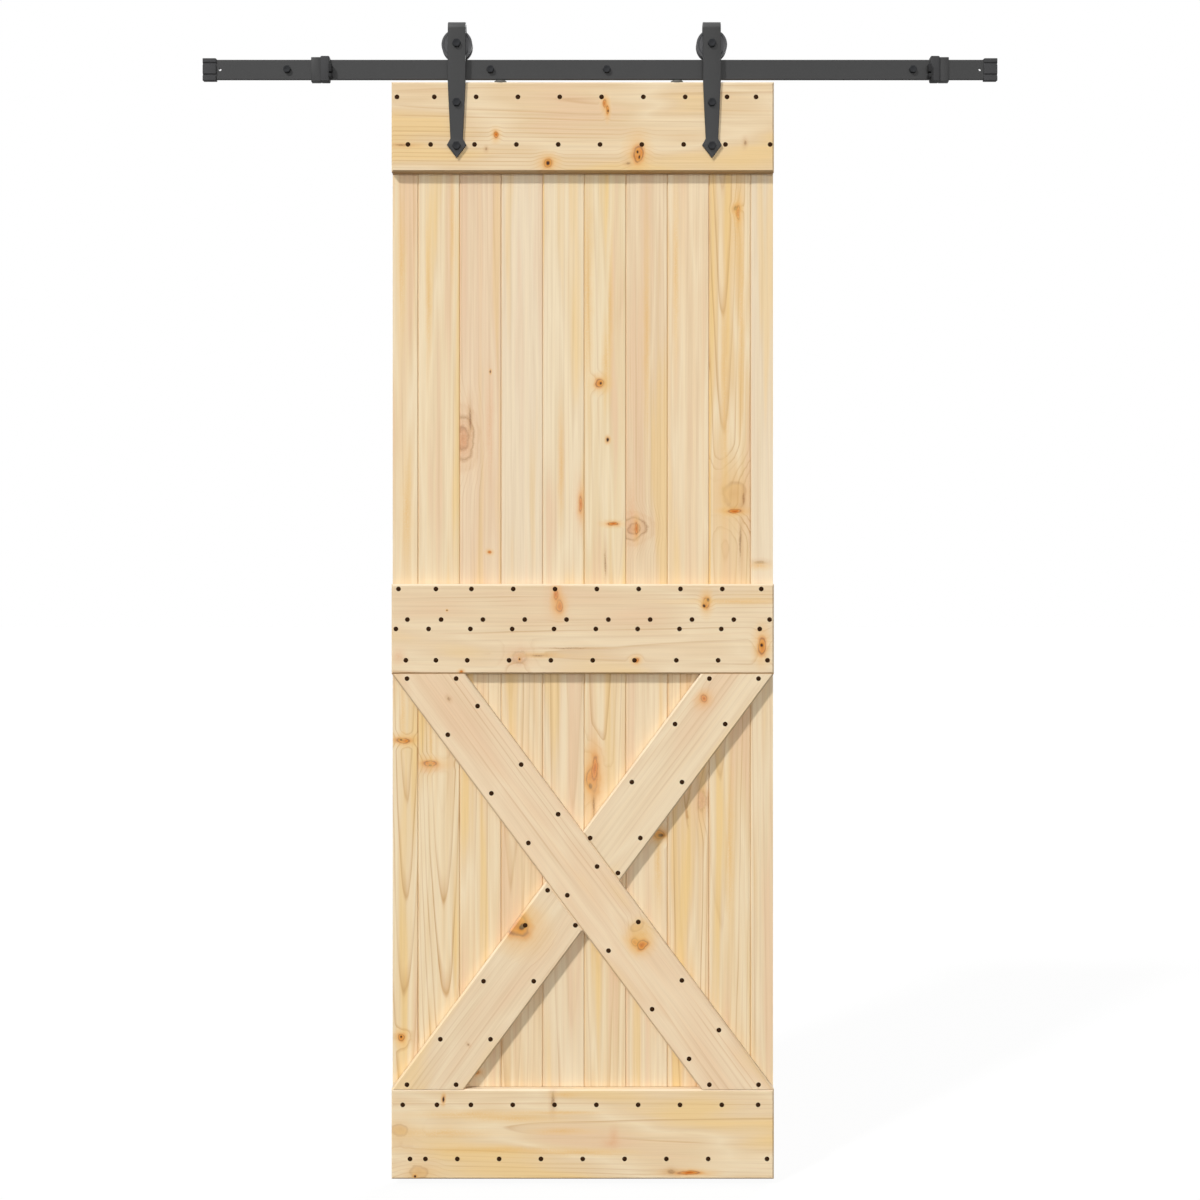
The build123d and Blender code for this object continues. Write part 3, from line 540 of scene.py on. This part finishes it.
# The long brace's lean: 732 - 140 mm across for 795 mm of height
slope = math.atan2(732 - 140, 795)
frameLooks = {
    "top_batten": dict(tint=(229, 202, 162), centre=(-0.033, -0.046, -0.112), lean=math.pi / 2, pith=(-0.05, 0.05),
                       tilt=(0.010, 0.006), spacing=0.0065, lines=0.5, bands=0.5, seed=3.3,
                       marks=(("orange", 73, -164, 18, 12), ("dark", 71, -160, 3, 2.5), ("dark", 75, -170, 4, 2),
                              ("orange", -99, -181, 9, 10), ("dark", -99, -181, 4, 4), ("orange", 10, -68, 9, 4),
                              ("orange", 15, -80, 10, 3), ("dark", 16, -82, 3, 1.5), ("dark", -199, -126, 2.5, 2),
                              ("orange", -199, -128, 7, 5), ("brown", -218, -155, 4, 2.5),
                              ("stain", -370, -148, 3, 26), ("brown", -380, -147, 2, 16),
                              ("brown", 54, -183, 3, 5), ("brown", 277, -143, 6, 3))),
    "middle_batten": dict(tint=(231, 206, 170), centre=(-0.033, -0.046, -1.073), lean=math.pi / 2, pith=(0.045, 0.05),
                          tilt=(0.014, -0.004), spacing=0.0075, lines=0.45, bands=0.45, seed=7.7,
                          marks=(("orange", -78, -1029, 13, 7), ("orange", -84, -1008, 12, 5),
                                 ("blush", -82, -1015, 24, 12), ("orange", 203, -1023, 13, 6),
                                 ("dark", 207, -1017, 4, 3), ("dark", 199, -1029, 4, 3),
                                 ("stain", 260, -1020, 3, 60), ("pink", -155, -1127, 13, 15),
                                 ("dark", -154, -1131, 2, 1.5), ("stain", -115, -1123, 3, 26),
                                 ("brown", -118, -1124, 2, 14), ("blush", -386, -1125, 8, 8),
                                 ("orange", 310, -1106, 18, 8), ("dark", 309, -1104, 4, 3),
                                 ("orange", 69, -1132, 5, 6), ("dark", -293, -1037, 1.4, 1.4),
                                 ("orange", -266, -1155, 2.5, 4), ("brown", -60, -1110, 1.2, 45))),
    "bottom_batten": dict(tint=(232, 206, 167), centre=(-0.033, -0.046, -2.04), lean=math.pi / 2, pith=(-0.01, 0.03),
                          tilt=(0.026, 0.012), spacing=0.0085, lines=0.5, bands=0.55, seed=11.9, wavy=1.7,
                          marks=(("tan", -384, -2032, 12, 18), ("tan", -347, -2112, 13, 18),
                                 ("dark", -354, -2120, 2.5, 2.5), ("dark", -300, -1973, 6, 2.5),
                                 ("brown", -90, -1974, 17, 4), ("stain", -68, -1964, 3, 14),
                                 ("blush", 27, -2044, 11, 5), ("blush", 21, -2057, 6, 10),
                                 ("orange", 170, -2114, 4, 26), ("brown", 136, -2112, 5, 10),
                                 ("stain", -70, -1998, 2, 40), ("stain", -250, -2002, 4, 55),
                                 ("stain", -165, -2010, 4, 45), ("stain", -300, -2038, 5, 50),
                                 ("stain", -200, -2070, 3.5, 100), ("stain", -74, -2034, 3, 28),
                                 ("stain", -35, -2075, 3, 50))),
    "long_brace": dict(tint=(234, 206, 171), centre=(-0.033, -0.046, -1.5565), lean=-slope, pith=(-0.05, 0.05),
                       tilt=(0.010, 0.002), spacing=0.0080, lines=0.34, bands=0.4, seed=15.1, wavy=1.6,
                       marks=(("orange", 67, -1671, 9, 10), ("orange", 81, -1677, 12, 11),
                              ("tan", 72, -1642, 15, 8), ("stain", 82, -1655, 16, 10), ("brown", -289, -1207, 3, 5))),
    "upper_half_brace": dict(tint=(233, 210, 176), centre=(0.15, -0.046, -1.33), lean=slope, pith=(0.07, 0.06),
                             tilt=(0.008, 0.0), spacing=0.0090, lines=0.28, bands=0.4, seed=19.3,
                             marks=(("orange", 199, -1207, 7, 9), ("blush", 199, -1212, 10, 14))),
    "lower_half_brace": dict(tint=(233, 209, 175), centre=(-0.2, -0.046, -1.78), lean=slope, pith=(0.06, 0.05),
                             tilt=(0.008, 0.004), spacing=0.0085, lines=0.28, bands=0.4, seed=23.7,
                             marks=(("orange", -156, -1641, 27, 24), ("dark", -148, -1643, 6, 9),
                                    ("stain", -150, -1622, 12, 12), ("brown", -252, -1868, 3, 2))),
}
for nodeName, look in frameLooks.items():
    dress(nodeName, pineMaterial(camel(nodeName) + "Pine", broad=True, **look))
print("pine finished:", len(upperLooks) + len(lowerLooks) + len(frameLooks), "pieces")


# Nails

nailHead = {"radius": 0.0047, "face": -0.046, "crown": 0.00038, "shank": 0.0015, "length": 0.030,
            "front": -0.0462, "apart": 0.0095}   # a head's corners lie before "front" and within "apart"


def nailPlaces(nodeName):
    # middles of the heads of a nail node: the mean of the corners that are nearer than a head's width
    mesh = nodes[nodeName].data
    points = np.empty(len(mesh.vertices) * 3)
    mesh.vertices.foreach_get("co", points)
    points = points.reshape(-1, 3)
    points = np.unique(np.round(points[points[:, 1] < nailHead["front"]][:, (0, 2)], 5), axis=0)
    near = np.linalg.norm(points[:, None] - points[None], axis=2) < nailHead["apart"]
    group = np.argmax(near, axis=1)
    return np.array([points[group == one].mean(axis=0) for one in np.unique(group)])


def nailGrid():
    # A profile turned about y: a dome that falls faster towards its rim, a rolled rim and a plain shank
    r, face, crown, shank = (nailHead[key] for key in ("radius", "face", "crown", "shank"))
    end = face + nailHead["length"]
    profile = np.array((
        (face - crown, 0.0002), (face - crown * 0.97, r * 0.35), (face - crown * 0.82, r * 0.68),
        (face - crown * 0.5, r * 0.9), (face, r * 0.985), (face + 0.0003, r), (face + 0.0010, r * 0.86),
        (face + 0.0014, shank), (end - 0.004, shank), (end - 0.0005, 0.0003),
    ))
    return turnedGrid(profile, 20)


for nodeName in ("top_nails", "middle_nails", "bottom_nails", "brace_nails"):
    centres = nailPlaces(nodeName)
    places = np.stack((centres[:, 0], 0 * centres[:, 0], centres[:, 1]), axis=1)
    pieceName = nodeName.split("_")[0] + "NailHeads"
    makePiece(pieceName, [(nailGrid(), False, places)], nailBrown, "door", [nodeName], 50)
    print("nails set:", nodeName, len(places))


# Hanger straps: "tip" to "crown" and "tail" are heights, "point" to "wide" half widths

hanger = {
    "places": (-0.274, 0.214), "line": -0.035, "thick": 0.005, "gap": 0.022, "edge": 0.0007,
    "tip": -0.172, "shoulder": -0.148, "neck": -0.136, "taper": -0.027, "crown": 0.091,
    "point": 0.0006, "head": 0.0186, "narrow": 0.012, "wide": 0.017, "tail": 0.029625, "tailRound": 0.014,
}


def strapGrid():
    # A round-edged bar section carried along the centre line: up the long leg, over half a circle and
    # down the short leg. Its half width follows the height on each leg.
    h = hanger
    turn = h["gap"] / 2 + h["thick"] / 2
    bend = h["crown"] - h["gap"] / 2 - h["thick"]
    heights = (h["tip"], h["shoulder"], h["neck"], h["taper"], bend)
    widths = (h["point"], h["head"], h["narrow"], h["wide"], h["wide"])
    spans = [np.linspace(low, high, count)[1:] for low, high, count in zip(heights, heights[1:], (12, 7, 10, 6))]
    up = np.concatenate(((h["tip"],), *spans))
    over = np.linspace(0, np.pi, 33)[1:-1]
    rounding = h["tailRound"] * (1 - np.sin(np.linspace(0, np.pi / 2, 12)[1:]))
    down = np.concatenate((np.linspace(bend, h["tail"] + h["tailRound"], 4), h["tail"] + rounding))
    z = np.concatenate((up, bend + turn * np.sin(over), down))[:, None]
    outY = np.concatenate((-1 + 0 * up, -np.cos(over), 1 + 0 * down))[:, None]
    outZ = np.concatenate((0 * up, np.sin(over), 0 * down))[:, None]
    frontWide = np.interp(up, heights, widths)
    dip = np.clip(h["tailRound"] - (down - h["tail"]), 0, h["tailRound"])
    rearWide = h["wide"] - h["tailRound"] + np.sqrt(np.maximum(h["tailRound"] ** 2 - dip ** 2, 0))
    wide = np.concatenate((frontWide, h["wide"] + 0 * over, rearWide))[:, None]
    angle, signX, signOut = roundBox()
    edge = np.minimum(h["edge"], wide * 0.9)
    x = signX * (wide - edge) + edge * np.cos(angle)
    out = signOut * (h["thick"] / 2 - h["edge"]) + h["edge"] * np.sin(angle)
    return np.stack((x, h["line"] + outY * (turn + out), z + outZ * out), axis=-1)


for place, word in zip(hanger["places"], ("left", "right")):
    makePiece(f"{word}HangerStrap", [(strapGrid(), False, (place, 0, 0))], strapCoat, "door",
              [f"hanger_strap_{word}"], 28)
print("hanger straps bent")


# Bolts, nuts and screws, whose shanks start a little inside their heads

bolt = {"across": 0.0143, "height": 0.005, "radius": 0.00475, "face": -0.051, "hidden": 0.0005,
        "axleHeight": 0.046, "axleEnd": -0.010, "axleShank": (0.00465, 0.0015, 0.0),
        "screwHeights": (-0.067, -0.150), "screwEnd": -0.018,
        "screwShank": (0.0047, 0.0028, 0.0011, 0.006),   # radius, pitch, depth of the thread, length of the point
        "nut": 0.007, "nutFace": -0.019, "nutRim": 0.0006}
axlePlaces = [(x, 0, bolt["axleHeight"]) for x in hanger["places"]]
screwPlaces = [(x, 0, z) for x in hanger["places"] for z in bolt["screwHeights"]]
headGrid = hexHeadGrid(bolt["across"], bolt["height"], bolt["face"])
shankStart = bolt["face"] - bolt["hidden"]
makePiece("axleBolts", [
    (headGrid, False, axlePlaces),
    (threadGrid(shankStart, bolt["axleEnd"], *bolt["axleShank"]), False, axlePlaces),
], boltBlack, "door", ["axle_bolts"], 40)
makePiece("hangerScrews", [
    (headGrid, False, screwPlaces),
    (threadGrid(shankStart, bolt["screwEnd"], *bolt["screwShank"]), False, screwPlaces),
], boltBlack, "door", ["hanger_screws"], 40)


def nutGrid():
    # a hexagon chamfered on both faces, round a bore: rows go out over the front face and in over the rear
    angle, ring = fullTurn(72), np.ones(72)
    hexagon, crown = hexRadius(angle, bolt["across"] / 2), ring * bolt["across"] / 2 * hexChamfer["crown"]
    drop = np.maximum(hexagon - crown, 0) * hexChamfer["slope"]
    near, far = bolt["nutFace"] * ring, (bolt["nutFace"] + bolt["nut"]) * ring
    bore, rim = bolt["radius"] * ring, bolt["nutRim"]
    rows = ((bore, near + rim), (bore + rim, near), (crown, near), (hexagon, near + drop),
            (hexagon, far - drop), (crown, far), (bore + rim, far), (bore, far - rim))
    radius, depth = np.stack([row[0] for row in rows]), np.stack([row[1] for row in rows])
    return around(angle, radius, depth)


makePiece("axleNuts", [(nutGrid(), True, axlePlaces)], boltBlack, "door", ["axle_nuts"], 40)

wallBolt = {"places": (-0.600, -0.210, 0.013, 0.210, 0.600), "across": 0.013, "height": 0.0055, "face": -0.038,
            "reach": 0.012, "radius": 0.004, "pitch": 0.00125, "depth": 0.0007, "neck": 0.0042, "neckFoot": 0.0036}
wallPlaces = [(x, 0, 0) for x in wallBolt["places"]]
neck = np.array(((wallBolt["face"] - bolt["hidden"], wallBolt["neck"]), (0.0, wallBolt["neck"]),
                 (0.0012, wallBolt["neckFoot"])))
thread = threadGrid(0.0008, wallBolt["reach"], wallBolt["radius"], wallBolt["pitch"], wallBolt["depth"])
makePiece("wallBolts", [
    (hexHeadGrid(wallBolt["across"], wallBolt["height"], wallBolt["face"]), False, wallPlaces),
    (turnedGrid(neck, 32), False, wallPlaces),
    (thread, False, wallPlaces),
], boltBlack, "track", ["wall_bolts"], 40)
print("bolts, screws and nuts made")

# Spacers: turned sleeves with softened rims
spacer = {"radius": 0.0085, "bore": 0.0046, "length": 0.032, "rim": 0.0012}
sleeve = soften(((-spacer["length"], spacer["bore"]), (-spacer["length"], spacer["radius"]),
                 (0, spacer["radius"]), (0, spacer["bore"])), spacer["rim"])
makePiece("wallSpacers", [(turnedGrid(sleeve, 48), True, wallPlaces)], steelCoat, "track",
          ["wall_spacers"], 40)


# Wheels and bearings: all corners are (depth, radius)

wheelShape = {"radius": 0.0295, "half": 0.010, "root": 0.0267, "rootHalf": 0.0035, "mouthHalf": 0.005,
              "bore": 0.013, "shoulder": 0.011, "seat": 0.004, "dish": 0.0007, "edge": 0.0008,
              "dishFrom": (0.0165, 0.0175), "dishTo": (0.0245, 0.0255)}
bearing = {
    "ring": ((-0.004, 0.007), (-0.004, 0.0129), (0.004, 0.0129), (0.004, 0.007),
             (0.0034, 0.007), (0.0034, 0.0102), (-0.0034, 0.0102), (-0.0034, 0.007)),
    "ringEdge": 0.0002,
    "sleeve": ((-0.011, 0.0048), (-0.011, 0.0069), (0.011, 0.0069), (0.011, 0.0048)),
    "sleeveEdge": 0.0003,
}


def wheelProfile():
    # half section of the wheel, with softened corners: both faces have a shallow dish between hub and rim
    w = wheelShape
    half, dish = w["half"], w["dish"]
    hub, foot, rise, rim = *w["dishFrom"], *w["dishTo"]
    corners = (
        (-half, w["shoulder"]), (-half, hub), (-half + dish, foot), (-half + dish, rise), (-half, rim),
        (-half, w["radius"]), (-w["mouthHalf"], w["radius"]), (-w["rootHalf"], w["root"]),
        (w["rootHalf"], w["root"]), (w["mouthHalf"], w["radius"]), (half, w["radius"]), (half, rim),
        (half - dish, rise), (half - dish, foot), (half, hub), (half, w["bore"]),
        (-w["seat"], w["bore"]), (-w["seat"], w["shoulder"]),
    )
    return soften(corners, w["edge"], 3)


wheelGrid = turnedGrid(wheelProfile(), 96)
ringGrid = turnedGrid(soften(bearing["ring"], bearing["ringEdge"], 2), 64)
sleeveGrid = turnedGrid(soften(bearing["sleeve"], bearing["sleeveEdge"], 2), 48)
for place, word in zip(hanger["places"], ("left", "right")):
    centre = (place, hanger["line"], bolt["axleHeight"])
    nylon = coatedMaterial(f"{word}TurnedNylon", paint(58, 58, 60), 0.46, 0.0009, 0.00003, 0.4, turned=centre)
    makePiece(f"{word}Wheel", [(wheelGrid, True, centre)], nylon, f"wheel_{word}",
              [f"wheel_{word}"], 30)
    makePiece(f"{word}BearingRing", [(ringGrid, True, centre)], bearingSteel, f"wheel_{word}",
              [f"bearing_outer_{word}"], 30)
    makePiece(f"{word}BearingSleeve", [(sleeveGrid, True, centre)], bearingSteel, "door",
              [f"bearing_inner_{word}"], 30)
print("wheels and bearings turned")


# End caps, clamps and bumpers: sleeves round the rail

rail = {"line": -0.035, "halfDeep": 0.003, "halfHigh": 0.019}
capShape = {"end": 0.762, "length": 0.026, "halfDeep": 0.006, "halfHigh": 0.022, "wall": 0.003, "corner": 0.0012,
            "groove": 0.011, "grooveWide": 0.0025, "grooveDeep": 0.0020}


def capOutline():
    # a round-cornered box whose front and back carry two grooves: the depth dips by half an ellipse of the height
    c = capShape
    core = np.array((c["halfDeep"] - c["corner"], c["halfHigh"] - c["corner"]))
    high = np.linspace(-core[1], core[1], 61)
    bells = [1 - ((high - side * c["groove"]) / c["grooveWide"]) ** 2 for side in (-1, 1)]
    dip = sum(c["grooveDeep"] * np.sqrt(np.maximum(bell, 0)) for bell in bells)
    front = np.stack((c["halfDeep"] - dip, high), axis=1)
    turn = np.linspace(0, np.pi / 2, 5)[1:-1]
    upper = core + c["corner"] * np.stack((np.cos(turn), np.sin(turn)), axis=1)
    half = np.concatenate((front, upper, ((core[0], c["halfHigh"]),)))
    return np.concatenate((half, -half))


def railSection(outline):
    # the rail's own section in as many columns as an outline: that outline is stretched and cut at the rail's sides
    reach = np.array((rail["halfDeep"], rail["halfHigh"]))
    return np.clip(outline * (4.0, 1.0), -reach, reach)


def capGrid(side):
    # Rows go from the blind end of the rail's pocket to its mouth, then outside to the closed end. Both outer
    # ends shrink by a quarter circle.
    c, outline = capShape, capOutline()
    outer = side * c["end"]
    mouth = outer - side * c["length"]
    t = np.linspace(0, np.pi / 2, 5)
    back = t[::-1]
    ends = (mouth + side * c["corner"] * (1 - np.cos(t)), outer - side * c["corner"] * (1 - np.cos(back)))
    shrink = c["corner"] * (1 - np.sin(np.concatenate((t, back))))
    outside = outline - np.sign(outline) * shrink[:, None, None]
    inner = railSection(outline)
    section = np.concatenate((np.stack((inner, inner)), outside))
    xs = np.concatenate(((outer - side * c["wall"], mouth), *ends))[:, None, None]
    return np.concatenate((xs + 0 * section[..., :1], section + (rail["line"], 0)), axis=-1)


for side, word in ((-1, "left"), (1, "right")):
    makePiece(f"{word}EndCap", [(capGrid(side), False, (0, 0, 0))], rubberBlack, "track",
              [f"end_cap_{word}"], 40)

# Under a rim stand how far along x each row is, then how far inward it lies
stopShape = {
    "faces": (-0.518, 0.633), "back": -0.028, "edge": 0.0010,
    "bumper": 0.0175, "bumperFront": -0.044, "base": -0.0235, "top": 0.0245, "round": 0.0025,
    "bumperRim": ((0.0022, 0.0008, 0), (0, 0.0004, 0.0010)), "mostAside": 0.0012,
    "clamp": 0.0185, "clampHalf": 0.0235, "clampFront": -0.040,
    "clampRim": ((0, 0.0003, 0.0008), (0.0007, 0.0002, 0)),
    "bufferReach": 0.005, "bufferFront": -0.050, "buffers": ((-0.0075, 0.008), (-0.018, -0.0105)),
    "bufferRim": ((-0.15, 0.3, 0.8, 0.93, 1.0), (0, 0, 0, 0.0003, 0.0009)), "bufferEdge": 0.0012,
}


def roundSection(front, back, low, high, edge):
    # a rectangle's middle, plus or minus half its side less the edge, plus the edge's quarter circle
    angle, signY, signZ = roundBox()
    y = (back + front) / 2 + signY * ((back - front) / 2 - edge) + edge * np.cos(angle)
    z = (high + low) / 2 + signZ * ((high - low) / 2 - edge) + edge * np.sin(angle)
    return y, z


def boxGrid(xs, low, high, front, back):
    # Rounded box along x: each row is a round-cornered rectangle between its own sides, and
    # the rows then return inside along the rail. All are arrays over the rows.
    sides = [side[:, None] for side in (front, back, low, high)]
    outside = np.stack(np.broadcast_arrays(xs[:, None], *roundSection(*sides, stopShape["edge"])), axis=-1)
    signY, signZ = roundBox()[1:]
    ends = np.array((xs[-1], xs[0]))[:, None]
    inner = (rail["line"] + signY * rail["halfDeep"], signZ * rail["halfHigh"])
    return np.concatenate((outside, np.stack(np.broadcast_arrays(ends, *inner), axis=-1)))


def bufferGrid(face, side, low, high):
    # a rubber block of round-cornered rectangles: rows run from the body of the bumper towards the strap
    s = stopShape
    along, inset = np.array(s["bufferRim"])[..., None]
    back = rail["line"] - rail["halfDeep"]
    section = roundSection(s["bufferFront"] + inset, back - inset, low + inset, high - inset, s["bufferEdge"])
    return np.stack(np.broadcast_arrays(face - side * s["bufferReach"] * along, *section), axis=-1)


for side, face, word in zip((-1, 1), stopShape["faces"], ("left", "right")):
    s = stopShape
    # bumper: rounded towards the door, in steps of a quarter circle
    t = np.linspace(0, np.pi / 2, 7)
    along, rim = np.array(s["bumperRim"])
    xs = face + side * np.concatenate((s["round"] * (1 - np.cos(t)), s["bumper"] - along))
    inset = np.concatenate((s["round"] * (1 - np.sin(t)), rim))
    aside = np.minimum(inset, s["mostAside"])
    grid = boxGrid(xs, s["base"] + inset, s["top"] - inset, s["bumperFront"] + aside, s["back"] - aside)
    makePiece(f"{word}StopBumper", [(grid, True, (0, 0, 0))], rubberBlack, "track",
              [f"stop_bumper_{word}"], 35)
    buffers = [(bufferGrid(face, side, low, high), False, (0, 0, 0)) for low, high in s["buffers"]]
    makePiece(f"{word}StopBuffers", buffers, bufferBlack, "track", [f"stop_bumper_{word}"], 35)
    # clamp: the same rim at both ends
    along, rim = np.array(s["clampRim"])
    xs = face + side * s["bumper"] + side * np.concatenate((along, s["clamp"] - along[::-1]))
    inset = np.concatenate((rim, rim[::-1]))
    grid = boxGrid(xs, -s["clampHalf"] + inset, s["clampHalf"] - inset, s["clampFront"] + inset, s["back"] - inset)
    makePiece(f"{word}StopClamp", [(grid, True, (0, 0, 0))], steelCoat, "track",
              [f"end_stop_{word}"], 35)
print("caps, clamps and bumpers moulded")

for nodeName, finish in (("rail", steelCoat), ("stop_screws", boltBlack), ("anti_jump_discs", discGrey),
                         ("disc_screws", boltBlack)):
    dress(nodeName, finish)


# Room, lamps and camera. Each lamp: the way its light travels, strength, and how wide it is in degrees

lamps = {
    "keyLamp": ((15.3, 18.0, -21.0), 2.3, 5.0),
    "frontSoftbox": ((-1.5, 16.0, -0.8), 1.41, 28.0),
    "rearFill": ((-12.0, -18.0, -10.0), 2.2, 30.0),
}
room = {"light": 0.32, "floor": -2.138, "half": 60.0, "floorShade": 0.12, "floorGlow": 0.93}
photoView = {"lens": 47.04, "sensor": 36.0, "place": (0.0, -3.046, -1.0176)}


def seenWhite(tree):
    # whether a ray comes straight from the camera, and whether it shows the room white: straight, mirrored or through
    path = put(tree, "LightPath").outputs
    seen = calc(tree, "MAXIMUM", path["Is Camera Ray"], path["Is Glossy Ray"])
    return path["Is Camera Ray"], calc(tree, "MAXIMUM", seen, path["Is Transmission Ray"])


def studioFloor():
    half, height = room["half"], room["floor"]
    mesh = bpy.data.meshes.new("studioFloor")
    corners = [(x * half, y * half, height) for x, y in ((-1, -1), (1, -1), (1, 1), (-1, 1))]
    mesh.from_pydata(corners, [], [(0, 1, 2, 3)])
    floor = bpy.data.objects.new("studioFloor", mesh)
    bpy.context.scene.collection.objects.link(floor)
    material, tree, shader = newMaterial("paleFloor")
    shader.inputs["Roughness"].default_value = 0.9
    glow = put(tree, "Emission", {"Color": grey(1), "Strength": 1.0})
    direct, seen = seenWhite(tree)
    tree.links.new(blendColour(tree, direct, grey(room["floorShade"]), grey(1.0)), shader.inputs["Base Color"])
    share = calc(tree, "MULTIPLY", seen, room["floorGlow"])
    mixed = put(tree, "MixShader", {0: share, 1: shader.outputs[0], 2: glow.outputs[0]})
    tree.links.new(mixed.outputs[0], tree.nodes["Material Output"].inputs[0])
    mesh.materials.append(material)


def studioLight():
    world = bpy.data.worlds.new("paleRoom")
    bpy.context.scene.world = world
    world.use_nodes = True
    tree = world.node_tree
    tree.nodes.clear()
    level = calc(tree, "MULTIPLY_ADD", seenWhite(tree)[1], 1.0 - room["light"], room["light"])
    sky = put(tree, "Background", {"Color": grey(1), "Strength": level})
    tree.links.new(sky.outputs[0], put(tree, "OutputWorld").inputs[0])
    for name, (way, strength, spread) in lamps.items():
        light = bpy.data.lights.new(name, "SUN")
        light.energy = strength
        light.angle = math.radians(spread)
        lamp = bpy.data.objects.new(name, light)
        lamp.rotation_euler = Vector(way).to_track_quat("-Z", "Y").to_euler()
        lamp.location = Vector(way) * -0.1
        bpy.context.scene.collection.objects.link(lamp)


studioFloor()
studioLight()
eye = bpy.data.cameras.new("photoCamera")
eye.lens, eye.sensor_width = photoView["lens"], photoView["sensor"]
camera = bpy.data.objects.new("photoCamera", eye)
camera.location = photoView["place"]
camera.rotation_euler = (math.pi / 2, 0, 0)
bpy.context.scene.collection.objects.link(camera)
bpy.context.scene.camera = camera
bpy.context.scene.view_settings.view_transform = "Standard"
print("room, lamps and camera set")
